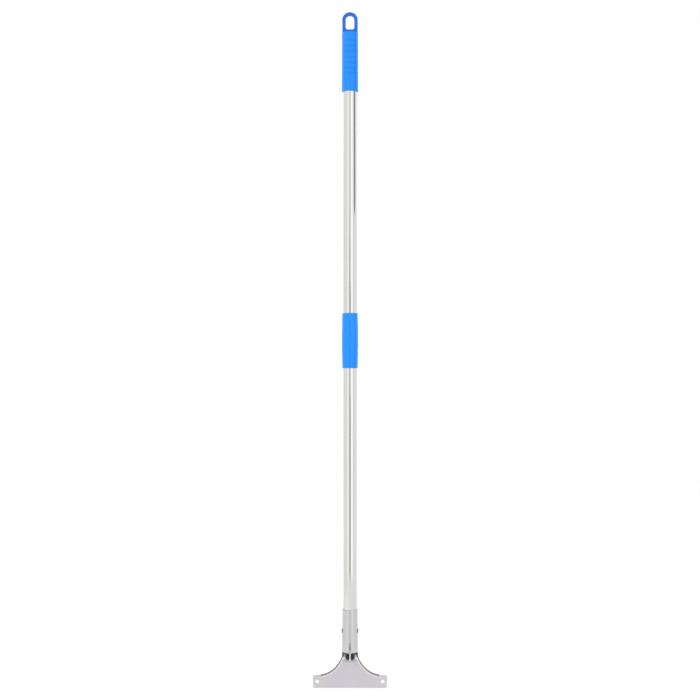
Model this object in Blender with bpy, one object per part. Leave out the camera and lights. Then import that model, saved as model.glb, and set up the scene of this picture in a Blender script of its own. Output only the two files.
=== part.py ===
"""A long-handled pool wall scraper: a steel blade head on a two-section tube pole.

The pole hangs from the loop of its grip. The two sections screw together inside a
barrel-shaped sleeve: a plug with a male thread ends the upper tube, and an insert with
the matching female thread ends the lower tube. Heights in the constants are measured
from the blade's lower edge. The world origin is the underside of the hanging loop.
"""

from math import cos, pi, sin, sqrt

import bmesh
import bpy
from mathutils import Matrix, Vector

MM = 0.001

# Clearance between neighbouring solids, and the size of a small broken edge
GAP = 0.30 * MM
EDGE_BREAK = 0.2 * MM
INSERT_CHAMFER = 0.8 * MM

# Tubes
TUBE_RADIUS = 12.5 * MM
TUBE_WALL = 0.8 * MM
TUBE_BORE = TUBE_RADIUS - TUBE_WALL
LOWER_TUBE_BOTTOM = 84.0 * MM
UPPER_TUBE_TOP = 1138.0 * MM
ROUND_SIDES = 32

# Screw joint, at half the sleeve's height
JOINT_HEIGHT = 616.6 * MM
SLEEVE_LENGTH = 97.4 * MM
SLEEVE_END_RADIUS = 13.8 * MM
SLEEVE_MIDDLE_RADIUS = 14.5 * MM
WASHER_THICKNESS = 1.5 * MM
WASHER_BORE = 9.6 * MM
COLLAR_THICKNESS = 2.0 * MM
COLLAR_RADIUS = 12.2 * MM
PLUG_RADIUS = TUBE_BORE - GAP
SPIGOT_LENGTH = 38.0 * MM
SPIGOT_CORE_RADIUS = 6.5 * MM
SOCKET_LENGTH = 34.0 * MM
THREAD_PITCH = 4.0 * MM
THREAD_TURNS = 4
THREAD_LENGTH = THREAD_TURNS * THREAD_PITCH
THREAD_MAJOR = 8.4 * MM
THREAD_MINOR = 7.4 * MM
THREAD_CLEARANCE = 0.4 * MM
THREAD_SIDES = 24
THREAD_ROWS_PER_TURN = 6
PILOT_LENGTH = 4.0 * MM
CROSS_PIN_RADIUS = 1.5 * MM
CROSS_PIN_CHAMFER = 0.4 * MM
CROSS_PIN_HALF_LENGTH = 12.2 * MM
SPIGOT_PIN_HEIGHT = 641.0 * MM
SOCKET_PIN_HEIGHT = 587.0 * MM

# Grip
GRIP_BOTTOM = 1057.2 * MM
GRIP_SHOULDER = 1161.8 * MM
GRIP_BOTTOM_RADIUS = 14.55 * MM
GRIP_TOP_RADIUS = 14.35 * MM
GRIP_BORE = TUBE_RADIUS + GAP
GROOVE_PITCH = 9.7 * MM
GROOVE_COUNT = 7
GROOVE_BOTTOM = 1083.0 * MM
GROOVE_DEPTH = 0.35 * MM
GRIP_TOP_EDGE = 1.2 * MM
GRIP_BOTTOM_EDGE = 0.6 * MM
LOOP_TOP = 1197.9 * MM
LOOP_HALF_WIDTH = 13.7 * MM
LOOP_BAR = 6.1 * MM
LOOP_THICKNESS = 8.0 * MM
LOOP_ROUNDING = 2.0 * MM
LOOP_ROOT_CORNER = 3.0 * MM
LOOP_HOLE_CORNER = 3.4 * MM
LOOP_HOLE_BOTTOM = 1167.4 * MM
LOOP_ROOT = 1150.0 * MM
HANG_HEIGHT = LOOP_TOP - LOOP_BAR

# Scraper head, one pressed and rolled sheet
SHEET = 0.9 * MM
PLATE_Y = 5.0 * MM
BLADE_WIDTH = 131.4 * MM
BAND_HEIGHT = 22.8 * MM
SIDE_ARC_RADIUS = 47.1 * MM
SIDE_ARC_CENTRE_X = 61.0 * MM
SIDE_ARC_CENTRE_HEIGHT = BAND_HEIGHT + SIDE_ARC_RADIUS
SOCKET_BOTTOM = 66.3 * MM
SOCKET_TOP = 141.5 * MM
SOCKET_TOP_RADIUS = TUBE_RADIUS + GAP + SHEET / 2
SOCKET_BOTTOM_RADIUS = 13.7 * MM
FLANGE_EDGE_ANGLE = 1.8
FLANGE_EDGE_Y = SOCKET_BOTTOM_RADIUS * cos(FLANGE_EDGE_ANGLE)
FLANGE_BEND_WIDTH = 4.2 * MM
FLANGE_END_ANGLE = 1.36
SIDE_ARC_END_ANGLE = 1.49
RAMP_BOTTOM = 45.5 * MM
SEAM_GAP = 0.5 * MM
SEAM_MOUTH_GAP = 1.9 * MM
SEAM_MOUTH_HEIGHT = 72.0 * MM
SEAM_TAPER_TOP = 86.0 * MM
WELD_HEIGHT = 69.2 * MM
WELD_SIZE = (8.0 * MM, 3.0 * MM, 6.4 * MM)
END_HOLE_RADIUS = 3.2 * MM
END_HOLE_X = 58.2 * MM
END_HOLE_HEIGHT = 11.3 * MM
BLADE_CORNER = 3.6 * MM
TAB_CORNER = 2.2 * MM
PLATE_COLUMNS = 6
BEND_COLUMNS = 5
FRONT_COLUMNS = 5
SIDE_ARC_ROWS = 26
SOCKET_ROW_HEIGHTS = (SEAM_MOUTH_HEIGHT, SEAM_TAPER_TOP, 110.0 * MM, SOCKET_TOP)

# Blind rivets through the socket and the lower tube
RIVET_HEIGHT = 103.0 * MM
RIVET_SHANK = 2.4 * MM
RIVET_HEAD_RADIUS = 4.8 * MM
RIVET_HEAD_THICKNESS = 1.5 * MM
RIVET_BULGE = 1.0 * MM
RIVET_BULGE_LENGTH = 2.2 * MM
RIVET_BULGE_EDGE = 0.4 * MM
RIVET_BORE = 1.3 * MM
RIVET_DOME_START = 0.38
MANDREL_RADIUS = 0.95 * MM
MANDREL_HEAD_RADIUS = 1.9 * MM
MANDREL_HEAD_LENGTH = 2.2 * MM
MANDREL_SUNK = 0.8 * MM
RIVET_SIDES = 20

root = None


def clear_scene():
    for old in list(bpy.data.objects):
        bpy.data.objects.remove(old, do_unlink=True)


def principled(name, colour, roughness, metallic):
    material = bpy.data.materials.new(name)
    material.use_nodes = True
    shader = material.node_tree.nodes["Principled BSDF"]
    shader.inputs["Base Color"].default_value = (*colour, 1.0)
    shader.inputs["Roughness"].default_value = roughness
    shader.inputs["Metallic"].default_value = metallic
    material.diffuse_color = (*colour, 1.0)
    return material


def make_materials():
    return {
        "blue": principled("blue_plastic", (0.045, 0.29, 0.96), 0.32, 0.0),
        "tube": principled("polished_steel", (0.72, 0.71, 0.69), 0.12, 1.0),
        "sheet": principled("satin_steel", (0.62, 0.61, 0.61), 0.30, 1.0),
        "insert": principled("grey_plastic", (0.30, 0.31, 0.33), 0.55, 0.0),
        "seal": principled("black_rubber", (0.02, 0.02, 0.02), 0.70, 0.0),
        "rivet": principled("rivet_aluminium", (0.66, 0.67, 0.68), 0.28, 1.0),
        "pin": principled("pin_steel", (0.45, 0.45, 0.46), 0.35, 1.0),
    }


def add_object(name, bm, material, smooth_below=0.6):
    """Turns a finished bmesh into a named object under the root empty."""
    bmesh.ops.recalc_face_normals(bm, faces=bm.faces)
    mesh = bpy.data.meshes.new(name)
    bm.to_mesh(mesh)
    bm.free()
    mesh.shade_smooth()
    mesh.set_sharp_from_angle(angle=smooth_below)
    mesh.materials.append(material)
    obj = bpy.data.objects.new(name, mesh)
    obj.parent = root
    bpy.context.scene.collection.objects.link(obj)
    return obj


def add_cutter(name, bm):
    cutter = add_object(name, bm, None)
    cutter.hide_render = True
    cutter.display_type = "WIRE"
    return cutter


def combine(obj, other, operation):
    modifier = obj.modifiers.new(operation.title(), "BOOLEAN")
    modifier.operation = operation
    modifier.object = other


def turned(outline, sides, reshape=None):
    """A solid of revolution about Z from a closed (radius, height) outline.

    A point with radius 0 becomes one vertex on the axis. reshape(angle, radius, height)
    may change the radius of any point, which is how threads are cut.
    """
    bm = bmesh.new()
    rings = []
    for radius, height in outline:
        if radius == 0.0:
            rings.append([bm.verts.new((0.0, 0.0, height))])
            continue
        ring = []
        for side in range(sides):
            angle = 2.0 * pi * side / sides
            r = reshape(angle, radius, height) if reshape else radius
            ring.append(bm.verts.new((r * cos(angle), r * sin(angle), height)))
        rings.append(ring)
    for index, ring in enumerate(rings):
        below = rings[(index + 1) % len(rings)]
        if len(ring) == 1 and len(below) == 1:
            continue
        for side in range(sides):
            after = (side + 1) % sides
            corners = [ring[side % len(ring)], ring[after % len(ring)]]
            corners += [below[after % len(below)], below[side % len(below)]]
            bm.faces.new(dict.fromkeys(corners))
    return bm


def spaced(start, end, count):
    """count + 1 evenly spaced values from start to end, both included."""
    return [start + (end - start) * step / count for step in range(count + 1)]


def smoothstep(value):
    value = min(max(value, 0.0), 1.0)
    return value * value * (3.0 - 2.0 * value)


def rod_along(axis, radius, length, centre, sides=24):
    """A plain round rod, used for pins' holes and rivets' holes."""
    bm = bmesh.new()
    bmesh.ops.create_cone(
        bm, cap_ends=True, segments=sides, radius1=radius, radius2=radius, depth=length
    )
    turn = Vector((0.0, 0.0, 1.0)).rotation_difference(Vector(axis)).to_matrix().to_4x4()
    bmesh.ops.transform(bm, matrix=Matrix.Translation(centre) @ turn, verts=bm.verts)
    return bm


# Pole -----------------------------------------------------------------------------------


def make_tube(name, bottom, top, material):
    outline = [
        (TUBE_RADIUS - EDGE_BREAK, top),
        (TUBE_RADIUS, top - EDGE_BREAK),
        (TUBE_RADIUS, bottom + EDGE_BREAK),
        (TUBE_RADIUS - EDGE_BREAK, bottom),
        (TUBE_BORE, bottom),
        (TUBE_BORE, top),
    ]
    return add_object(name, turned(outline, ROUND_SIDES), material)


def make_sleeve(material):
    half = SLEEVE_LENGTH / 2
    bulge = SLEEVE_MIDDLE_RADIUS - SLEEVE_END_RADIUS
    lip_radius = SLEEVE_END_RADIUS - EDGE_BREAK
    bore = TUBE_RADIUS + GAP
    outline = [(bore, JOINT_HEIGHT + half), (lip_radius, JOINT_HEIGHT + half)]
    for height in spaced(half - EDGE_BREAK, EDGE_BREAK - half, 8):
        radius = SLEEVE_MIDDLE_RADIUS - bulge * (height / half) ** 2
        outline.append((radius, JOINT_HEIGHT + height))
    outline += [(lip_radius, JOINT_HEIGHT - half), (bore, JOINT_HEIGHT - half)]
    return add_object("joint_sleeve", turned(outline, ROUND_SIDES), material)


def thread_wave(angle, height):
    """0 at the root and 1 at the crest of a right-handed round thread."""
    return 0.5 + 0.5 * cos(2.0 * pi * (height - JOINT_HEIGHT) / THREAD_PITCH - angle)


def thread_fade(height, bottom, top):
    """Runs the thread out over half a turn at both ends of its length."""
    run_out = THREAD_PITCH / 2
    return smoothstep(min(height - bottom, top - height) / run_out)


def thread_rows(top, bottom):
    turns = (top - bottom) / THREAD_PITCH
    return spaced(top, bottom, round(turns * THREAD_ROWS_PER_TURN))


def make_washer(material):
    half = WASHER_THICKNESS / 2
    outline = [
        (WASHER_BORE, JOINT_HEIGHT + half),
        (COLLAR_RADIUS, JOINT_HEIGHT + half),
        (COLLAR_RADIUS, JOINT_HEIGHT - half),
        (WASHER_BORE, JOINT_HEIGHT - half),
    ]
    return add_object("joint_washer", turned(outline, ROUND_SIDES), material)


# Heights where the collars of the plug and the insert begin and end
SPIGOT_COLLAR_BOTTOM = JOINT_HEIGHT + WASHER_THICKNESS / 2 + GAP
SPIGOT_COLLAR_TOP = SPIGOT_COLLAR_BOTTOM + COLLAR_THICKNESS
SOCKET_COLLAR_TOP = JOINT_HEIGHT - WASHER_THICKNESS / 2 - GAP
SOCKET_COLLAR_BOTTOM = SOCKET_COLLAR_TOP - COLLAR_THICKNESS


def make_spigot(materials):
    plug_top = SPIGOT_COLLAR_BOTTOM + SPIGOT_LENGTH
    core_bottom = SPIGOT_COLLAR_TOP + COLLAR_THICKNESS
    thread_top = SOCKET_COLLAR_TOP
    thread_bottom = thread_top - THREAD_LENGTH
    pilot_bottom = thread_bottom - PILOT_LENGTH
    outline = [
        (SPIGOT_CORE_RADIUS, plug_top),
        (PLUG_RADIUS - INSERT_CHAMFER, plug_top),
        (PLUG_RADIUS, plug_top - INSERT_CHAMFER),
        (PLUG_RADIUS, SPIGOT_COLLAR_TOP),
        (COLLAR_RADIUS, SPIGOT_COLLAR_TOP),
        (COLLAR_RADIUS, SPIGOT_COLLAR_BOTTOM),
        (THREAD_MINOR, SPIGOT_COLLAR_BOTTOM),
    ]
    outline += [(THREAD_MINOR, height) for height in thread_rows(thread_top, thread_bottom)]
    outline += [
        (THREAD_MINOR, pilot_bottom + INSERT_CHAMFER),
        (THREAD_MINOR - INSERT_CHAMFER, pilot_bottom),
        (0.0, pilot_bottom),
        (0.0, core_bottom),
        (SPIGOT_CORE_RADIUS, core_bottom),
    ]

    def male_thread(angle, radius, height):
        if radius != THREAD_MINOR:
            return radius
        depth = (THREAD_MAJOR - THREAD_MINOR) * thread_fade(height, thread_bottom, thread_top)
        return radius + depth * thread_wave(angle, height)

    bm = turned(outline, THREAD_SIDES, male_thread)
    spigot = add_object("threaded_spigot", bm, materials["insert"])
    add_cross_pin("spigot_cross_pin", SPIGOT_PIN_HEIGHT, materials["pin"])
    return spigot


def make_socket_insert(materials):
    major = THREAD_MAJOR + THREAD_CLEARANCE
    body_bottom = SOCKET_COLLAR_TOP - SOCKET_LENGTH
    thread_top = SOCKET_COLLAR_TOP - INSERT_CHAMFER
    thread_bottom = thread_top - THREAD_LENGTH + THREAD_PITCH / 2
    outline = [(major, body_bottom)]
    outline += [(major, height) for height in reversed(thread_rows(thread_top, thread_bottom))]
    outline += [
        (major + INSERT_CHAMFER, SOCKET_COLLAR_TOP),
        (COLLAR_RADIUS, SOCKET_COLLAR_TOP),
        (COLLAR_RADIUS, SOCKET_COLLAR_BOTTOM),
        (PLUG_RADIUS, SOCKET_COLLAR_BOTTOM),
        (PLUG_RADIUS, body_bottom + INSERT_CHAMFER),
        (PLUG_RADIUS - INSERT_CHAMFER, body_bottom),
    ]

    def female_thread(angle, radius, height):
        if radius != major:
            return radius
        depth = (THREAD_MAJOR - THREAD_MINOR) * thread_fade(height, thread_bottom, thread_top)
        return radius - depth * (1.0 - thread_wave(angle, height))

    bm = turned(outline, THREAD_SIDES, female_thread)
    insert = add_object("threaded_socket", bm, materials["insert"])
    add_cross_pin("socket_cross_pin", SOCKET_PIN_HEIGHT, materials["pin"])
    return insert


def add_cross_pin(name, height, material):
    half = CROSS_PIN_HALF_LENGTH
    end_radius = CROSS_PIN_RADIUS - CROSS_PIN_CHAMFER
    outline = [
        (0.0, half),
        (end_radius, half),
        (CROSS_PIN_RADIUS, half - CROSS_PIN_CHAMFER),
        (CROSS_PIN_RADIUS, CROSS_PIN_CHAMFER - half),
        (end_radius, -half),
        (0.0, -half),
    ]
    bm = turned(outline, 16)
    lay_along_x = Matrix.Rotation(pi / 2, 4, "Y")
    bmesh.ops.transform(bm, matrix=Matrix.Translation((0, 0, height)) @ lay_along_x, verts=bm.verts)
    return add_object(name, bm, material)


def drill_cross_hole(name, height, pieces):
    bm = rod_along((1, 0, 0), CROSS_PIN_RADIUS + GAP, 4 * TUBE_RADIUS, (0, 0, height))
    cutter = add_cutter(name, bm)
    for piece in pieces:
        combine(piece, cutter, "DIFFERENCE")


# Grip -----------------------------------------------------------------------------------


def grip_radius(height):
    """Slight taper, with shallow rounded grooves along the hand's length."""
    share = (height - GRIP_BOTTOM) / (GRIP_SHOULDER - GRIP_BOTTOM)
    radius = GRIP_BOTTOM_RADIUS + (GRIP_TOP_RADIUS - GRIP_BOTTOM_RADIUS) * share
    along = (height - GROOVE_BOTTOM) / GROOVE_PITCH
    if 0.0 < along < GROOVE_COUNT:
        radius -= GROOVE_DEPTH * (0.5 - 0.5 * cos(2.0 * pi * along)) ** 3
    return radius


def grip_body():
    outline = [(0.0, GRIP_SHOULDER)]
    for turn in spaced(0.0, pi / 2, 3):
        radius = GRIP_TOP_RADIUS - GRIP_TOP_EDGE * (1.0 - sin(turn))
        outline.append((radius, GRIP_SHOULDER - GRIP_TOP_EDGE * (1.0 - cos(turn))))
    groove_top = GROOVE_BOTTOM + GROOVE_COUNT * GROOVE_PITCH
    for height in spaced(groove_top, GROOVE_BOTTOM, 6 * GROOVE_COUNT):
        outline.append((grip_radius(height), height))
    for turn in spaced(pi / 2, pi, 3):
        radius = GRIP_BOTTOM_RADIUS - GRIP_BOTTOM_EDGE * (1.0 - sin(turn))
        outline.append((radius, GRIP_BOTTOM + GRIP_BOTTOM_EDGE * (1.0 + cos(turn))))
    bore_top = UPPER_TUBE_TOP + GAP
    outline += [(GRIP_BORE, GRIP_BOTTOM), (GRIP_BORE, bore_top), (0.0, bore_top)]
    return turned(outline, ROUND_SIDES)


def loop_outline(half_width, top, bottom, corner):
    """Closed (x, z) outline with straight sides, a half-round top and rounded lower corners."""
    centre = top - half_width
    points = []
    for turn in spaced(0.0, pi, 20):
        points.append((half_width * cos(turn), centre + half_width * sin(turn)))
    for side, first in ((-1.0, pi), (1.0, 1.5 * pi)):
        for turn in spaced(first, first + pi / 2, 4):
            x = side * (half_width - corner) + corner * cos(turn)
            points.append((x, bottom + corner + corner * sin(turn)))
    return points


def loop_section():
    """Half of the bar's rounded cross-section, as (inset, depth) steps from front to back."""
    half = LOOP_THICKNESS / 2
    steps = []
    for turn in spaced(0.0, pi / 2, 3):
        inset = LOOP_ROUNDING * (1.0 - sin(turn))
        steps.append((inset, -half + LOOP_ROUNDING * (1.0 - cos(turn))))
    return steps + [(inset, -depth) for inset, depth in reversed(steps)]


def rounded_slab(half_width, top, bottom, corner, sign):
    """An outline carried through the loop's thickness; sign +1 rounds outward, -1 inward."""
    bm = bmesh.new()
    layers = []
    for inset, depth in loop_section():
        inset *= sign
        points = loop_outline(half_width - inset, top - inset, bottom + inset, corner - inset)
        layers.append([bm.verts.new((x, depth, z)) for x, z in points])
    for front, back in zip(layers, layers[1:]):
        for index in range(len(front)):
            after = (index + 1) % len(front)
            bm.faces.new((front[index], front[after], back[after], back[index]))
    bm.faces.new(layers[0])
    bm.faces.new(layers[-1])
    return bm


def make_grip(material):
    grip = add_object("top_grip", grip_body(), material)
    loop = rounded_slab(LOOP_HALF_WIDTH, LOOP_TOP, LOOP_ROOT, LOOP_ROOT_CORNER, 1.0)
    combine(grip, add_cutter("loop_blank", loop), "UNION")
    hole_width = LOOP_HALF_WIDTH - LOOP_BAR
    hole = rounded_slab(hole_width, HANG_HEIGHT, LOOP_HOLE_BOTTOM, LOOP_HOLE_CORNER, -1.0)
    combine(grip, add_cutter("loop_hole", hole), "DIFFERENCE")
    return grip


# Scraper head ---------------------------------------------------------------------------


SIDE_ARC_START_ANGLE = (SIDE_ARC_CENTRE_HEIGHT - SOCKET_BOTTOM) / SIDE_ARC_RADIUS


def side_arc_point(angle):
    """A point on the head's concave side. Angle 0 is level with the arc's centre."""
    x = SIDE_ARC_CENTRE_X - SIDE_ARC_RADIUS * cos(angle)
    return x, SIDE_ARC_CENTRE_HEIGHT - SIDE_ARC_RADIUS * sin(angle)


def flange_depth(angle):
    """How far the raised flange stands forward of the plate, fading out along the arc."""
    left = (FLANGE_END_ANGLE - angle) / (FLANGE_END_ANGLE - SIDE_ARC_START_ANGLE)
    return (PLATE_Y - FLANGE_EDGE_Y) * sqrt(max(left, 0.0))


def plate_row(x_edge, height, depth):
    """Half cross-section of the plate, from its middle to its free edge, as (x, y, z)."""
    side_wall = SHEET / 2 * min(depth / SHEET, 1.0)
    bend_x = x_edge - side_wall - FLANGE_BEND_WIDTH
    row = [(bend_x * step / PLATE_COLUMNS, PLATE_Y, height) for step in range(PLATE_COLUMNS)]
    for turn in spaced(0.0, pi / 2, BEND_COLUMNS):
        x = bend_x + FLANGE_BEND_WIDTH * sin(turn)
        row.append((x, PLATE_Y - depth * (1.0 - cos(turn)), height))
    return row


def socket_radius(height):
    share = (height - SOCKET_BOTTOM) / (SOCKET_TOP - SOCKET_BOTTOM)
    return SOCKET_BOTTOM_RADIUS + (SOCKET_TOP_RADIUS - SOCKET_BOTTOM_RADIUS) * max(share, 0.0)


def rolled_row(height):
    """Half cross-section of the rolled sheet: back and side, out to the flange's edge angle."""
    radius = socket_radius(height)
    angles = spaced(0.0, FLANGE_EDGE_ANGLE, PLATE_COLUMNS + BEND_COLUMNS)
    return [(radius * sin(angle), radius * cos(angle), height) for angle in angles]


def seam_half_angle(height):
    closing = (height - SEAM_MOUTH_HEIGHT) / (SEAM_TAPER_TOP - SEAM_MOUTH_HEIGHT)
    gap = SEAM_MOUTH_GAP + (SEAM_GAP - SEAM_MOUTH_GAP) * min(max(closing, 0.0), 1.0)
    return gap / 2 / socket_radius(height)


def front_row(height):
    """The rest of the rolled half, from the flange's edge angle to the seam."""
    radius = socket_radius(height)
    angles = spaced(FLANGE_EDGE_ANGLE, pi - seam_half_angle(height), FRONT_COLUMNS)
    return [(radius * sin(angle), radius * cos(angle), height) for angle in angles[1:]]


def blend_rows(low, high, share):
    return [Vector(a).lerp(Vector(b), share) for a, b in zip(low, high)]


def head_rows():
    """Every half cross-section of the head from the blade's edge to the socket's top."""
    half_width = BLADE_WIDTH / 2
    rows = []
    for turn in spaced(0.0, pi / 2, 4):
        inset = BLADE_CORNER * (1.0 - sin(turn))
        rows.append(plate_row(half_width - inset, BLADE_CORNER * (1.0 - cos(turn)), 0.0))
    rows.append(plate_row(half_width, BAND_HEIGHT / 2, 0.0))
    for turn in spaced(0.0, pi / 2, 3):
        inset = TAB_CORNER * (1.0 - cos(turn))
        rows.append(plate_row(half_width - inset, BAND_HEIGHT - TAB_CORNER * (1.0 - sin(turn)), 0.0))
    for angle in spaced(SIDE_ARC_END_ANGLE, SIDE_ARC_START_ANGLE, SIDE_ARC_ROWS):
        x_edge, height = side_arc_point(angle)
        flat = plate_row(x_edge, height, flange_depth(angle))
        share = smoothstep((height - RAMP_BOTTOM) / (SOCKET_BOTTOM - RAMP_BOTTOM))
        rows.append(blend_rows(flat, rolled_row(height), share))
    return rows + [rolled_row(height) for height in SOCKET_ROW_HEIGHTS]


def head_sheet():
    bm = bmesh.new()
    grid = []
    for row in head_rows():
        right = [bm.verts.new(point) for point in row]
        left = [bm.verts.new((-x, y, z)) for x, y, z in row[1:]]
        height = row[0][2]
        if height > SOCKET_BOTTOM - 0.01 * MM:
            front = front_row(height)
            right += [bm.verts.new(point) for point in front]
            left += [bm.verts.new((-x, y, z)) for x, y, z in front]
        grid.append((right, [right[0]] + left))
    for lower, upper in zip(grid, grid[1:]):
        for low, high in zip(lower, upper):
            for index in range(min(len(low), len(high)) - 1):
                bm.faces.new((low[index], low[index + 1], high[index + 1], high[index]))
    return bm


def make_head(material):
    head = add_object("scraper_head", head_sheet(), material)
    solidify = head.modifiers.new("Sheet", "SOLIDIFY")
    solidify.thickness = SHEET
    solidify.offset = 0.0
    solidify.use_even_offset = True
    for side in (-1, 1):
        spot = (side * END_HOLE_X, PLATE_Y, END_HOLE_HEIGHT)
        hole = rod_along((0, 1, 0), END_HOLE_RADIUS, 10 * SHEET, spot, 32)
        combine(head, add_cutter(f"end_hole_{side}", hole), "DIFFERENCE")
    bead = bmesh.new()
    bmesh.ops.create_uvsphere(bead, u_segments=16, v_segments=8, radius=0.5)
    size = Matrix.Diagonal((*WELD_SIZE, 1.0))
    spot = Matrix.Translation((0, -socket_radius(WELD_HEIGHT), WELD_HEIGHT))
    bmesh.ops.transform(bead, matrix=spot @ size, verts=bead.verts)
    combine(head, add_cutter("tack_weld", bead), "UNION")
    return head


# Rivets ---------------------------------------------------------------------------------


def rivet_outline():
    """Closed outline of a set blind rivet, with its head up and its bulge down."""
    seat = socket_radius(RIVET_HEIGHT) + SHEET / 2 + GAP
    head_top = seat + RIVET_HEAD_THICKNESS
    bulge_radius = RIVET_SHANK + RIVET_BULGE
    bulge_top = sqrt(TUBE_BORE**2 - bulge_radius**2) - GAP
    rivet_end = bulge_top - RIVET_BULGE_LENGTH
    outline = [(RIVET_BORE, head_top)]
    for turn in spaced(RIVET_DOME_START, pi / 2, 5):
        outline.append((RIVET_HEAD_RADIUS * sin(turn), seat + RIVET_HEAD_THICKNESS * cos(turn)))
    outline[-1] = (RIVET_HEAD_RADIUS, seat)
    outline += [
        (RIVET_SHANK, seat),
        (RIVET_SHANK, bulge_top + RIVET_BULGE_EDGE),
        (bulge_radius, bulge_top - RIVET_BULGE_EDGE),
        (bulge_radius, rivet_end + 2 * RIVET_BULGE_EDGE),
        (RIVET_SHANK, rivet_end),
        (RIVET_BORE, rivet_end),
    ]
    return outline, head_top, rivet_end


def mandrel_outline(head_top, rivet_end):
    """Closed outline of the broken-off mandrel: a stem and a head behind the rivet's bulge."""
    stem_top = head_top - MANDREL_SUNK
    inner_head_top = rivet_end - GAP
    inner_head_end = inner_head_top - MANDREL_HEAD_LENGTH
    return [
        (0.0, stem_top),
        (MANDREL_RADIUS, stem_top - EDGE_BREAK),
        (MANDREL_RADIUS, inner_head_top),
        (MANDREL_HEAD_RADIUS, inner_head_top),
        (MANDREL_HEAD_RADIUS, inner_head_end + MANDREL_HEAD_LENGTH / 2),
        (MANDREL_HEAD_RADIUS / 2, inner_head_end),
        (0.0, inner_head_end),
    ]


def make_rivets(materials, drilled):
    outline, head_top, rivet_end = rivet_outline()
    for name, side in (("left", -1), ("right", 1)):
        turn = Matrix.Rotation(pi / 2 * (1 - side), 4, "Z")
        lay = Matrix.Translation((0, 0, RIVET_HEIGHT)) @ turn @ Matrix.Rotation(pi / 2, 4, "Y")
        body = turned(outline, RIVET_SIDES)
        stem = turned(mandrel_outline(head_top, rivet_end), 16)
        for bm in (body, stem):
            bmesh.ops.transform(bm, matrix=lay, verts=bm.verts)
        add_object("rivet_" + name, body, materials["rivet"])
        add_object("rivet_mandrel_" + name, stem, materials["pin"])
    hole = rod_along((1, 0, 0), RIVET_SHANK + GAP, 4 * TUBE_RADIUS, (0, 0, RIVET_HEIGHT))
    cutter = add_cutter("rivet_hole", hole)
    for piece in drilled:
        combine(piece, cutter, "DIFFERENCE")


def build():
    global root
    clear_scene()
    root = bpy.data.objects.new("scraper_frame", None)
    root.location.z = -HANG_HEIGHT
    bpy.context.scene.collection.objects.link(root)
    materials = make_materials()

    spigot = make_spigot(materials)
    insert = make_socket_insert(materials)
    steel = materials["tube"]
    upper_tube = make_tube("upper_tube", SPIGOT_COLLAR_TOP + GAP, UPPER_TUBE_TOP, steel)
    lower_tube = make_tube("lower_tube", LOWER_TUBE_BOTTOM, SOCKET_COLLAR_BOTTOM - GAP, steel)
    make_sleeve(materials["blue"])
    make_washer(materials["seal"])
    make_grip(materials["blue"])
    head = make_head(materials["sheet"])
    make_rivets(materials, (head, lower_tube))
    drill_cross_hole("spigot_pin_hole", SPIGOT_PIN_HEIGHT, (upper_tube, spigot))
    drill_cross_hole("socket_pin_hole", SOCKET_PIN_HEIGHT, (lower_tube, insert))


build()
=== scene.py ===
"""The looks of a long-handled pool wall scraper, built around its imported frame.

Lengths are in metres and in the frame's axes: +Z runs up the pole, the origin is under
the arch of the hanging loop, and the blade's front faces -Y.
"""

from math import asin, atan2, cos, pi, sin, sqrt

import bmesh
import bpy
from mathutils import Matrix, Vector


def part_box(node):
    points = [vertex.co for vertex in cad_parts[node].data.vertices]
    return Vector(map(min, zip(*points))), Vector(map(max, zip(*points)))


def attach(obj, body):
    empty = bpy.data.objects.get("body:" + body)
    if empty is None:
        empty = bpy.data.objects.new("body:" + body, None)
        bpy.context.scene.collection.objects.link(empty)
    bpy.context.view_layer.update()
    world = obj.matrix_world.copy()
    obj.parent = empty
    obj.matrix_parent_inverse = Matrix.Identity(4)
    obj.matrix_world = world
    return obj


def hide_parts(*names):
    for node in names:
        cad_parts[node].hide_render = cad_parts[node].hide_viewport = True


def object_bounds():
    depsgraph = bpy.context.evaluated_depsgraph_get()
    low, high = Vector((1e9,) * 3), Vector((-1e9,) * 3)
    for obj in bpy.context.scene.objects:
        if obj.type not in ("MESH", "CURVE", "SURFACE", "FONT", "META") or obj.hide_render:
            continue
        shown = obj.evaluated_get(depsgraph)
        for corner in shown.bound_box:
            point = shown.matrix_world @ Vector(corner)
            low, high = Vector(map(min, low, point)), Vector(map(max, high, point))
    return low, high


MM = 0.001

# Fineness of round pieces
FINE_SIDES = 128
THREAD_SIDES = 72
SMALL_SIDES = 48
WELD_ROOT_SIDES = 24

# Sheet and tube stock
TUBE_WALL = 0.8 * MM
SHEET = 0.9 * MM
EDGE_BREAK = 0.15 * MM

# Gap between pieces that are pressed, glued or pinned together
FIT_GAP = 0.3 * MM

# Grip
GROOVE_PITCH = 9.7 * MM
GROOVE_COUNT = 7
GROOVE_START = 25.8 * MM
GROOVE_DEPTH = 0.16 * MM
GRIP_LENGTH = 104.6 * MM
GRIP_TAPER = 0.2 * MM
GRIP_TOP_EDGE = 1.2 * MM
GRIP_BOTTOM_EDGE = 0.6 * MM
LOOP_BAR = 6.1 * MM
LOOP_HALF_WIDTH = 13.7 * MM
LOOP_THICKNESS = 8.0 * MM
LOOP_ROUNDING = 2.0 * MM
LOOP_HOLE_HEIGHT = 24.4 * MM
LOOP_HOLE_CORNER = 3.4 * MM
LOOP_ROOT_DEPTH = 11.8 * MM
LOOP_ROOT_CORNER = 3.0 * MM
LOOP_FILLET = 1.8 * MM
FILLET_SUNK = 0.3 * MM

# Sleeve
SLEEVE_BULGE = 0.85 * MM
SLEEVE_LIP = 0.5 * MM

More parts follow.
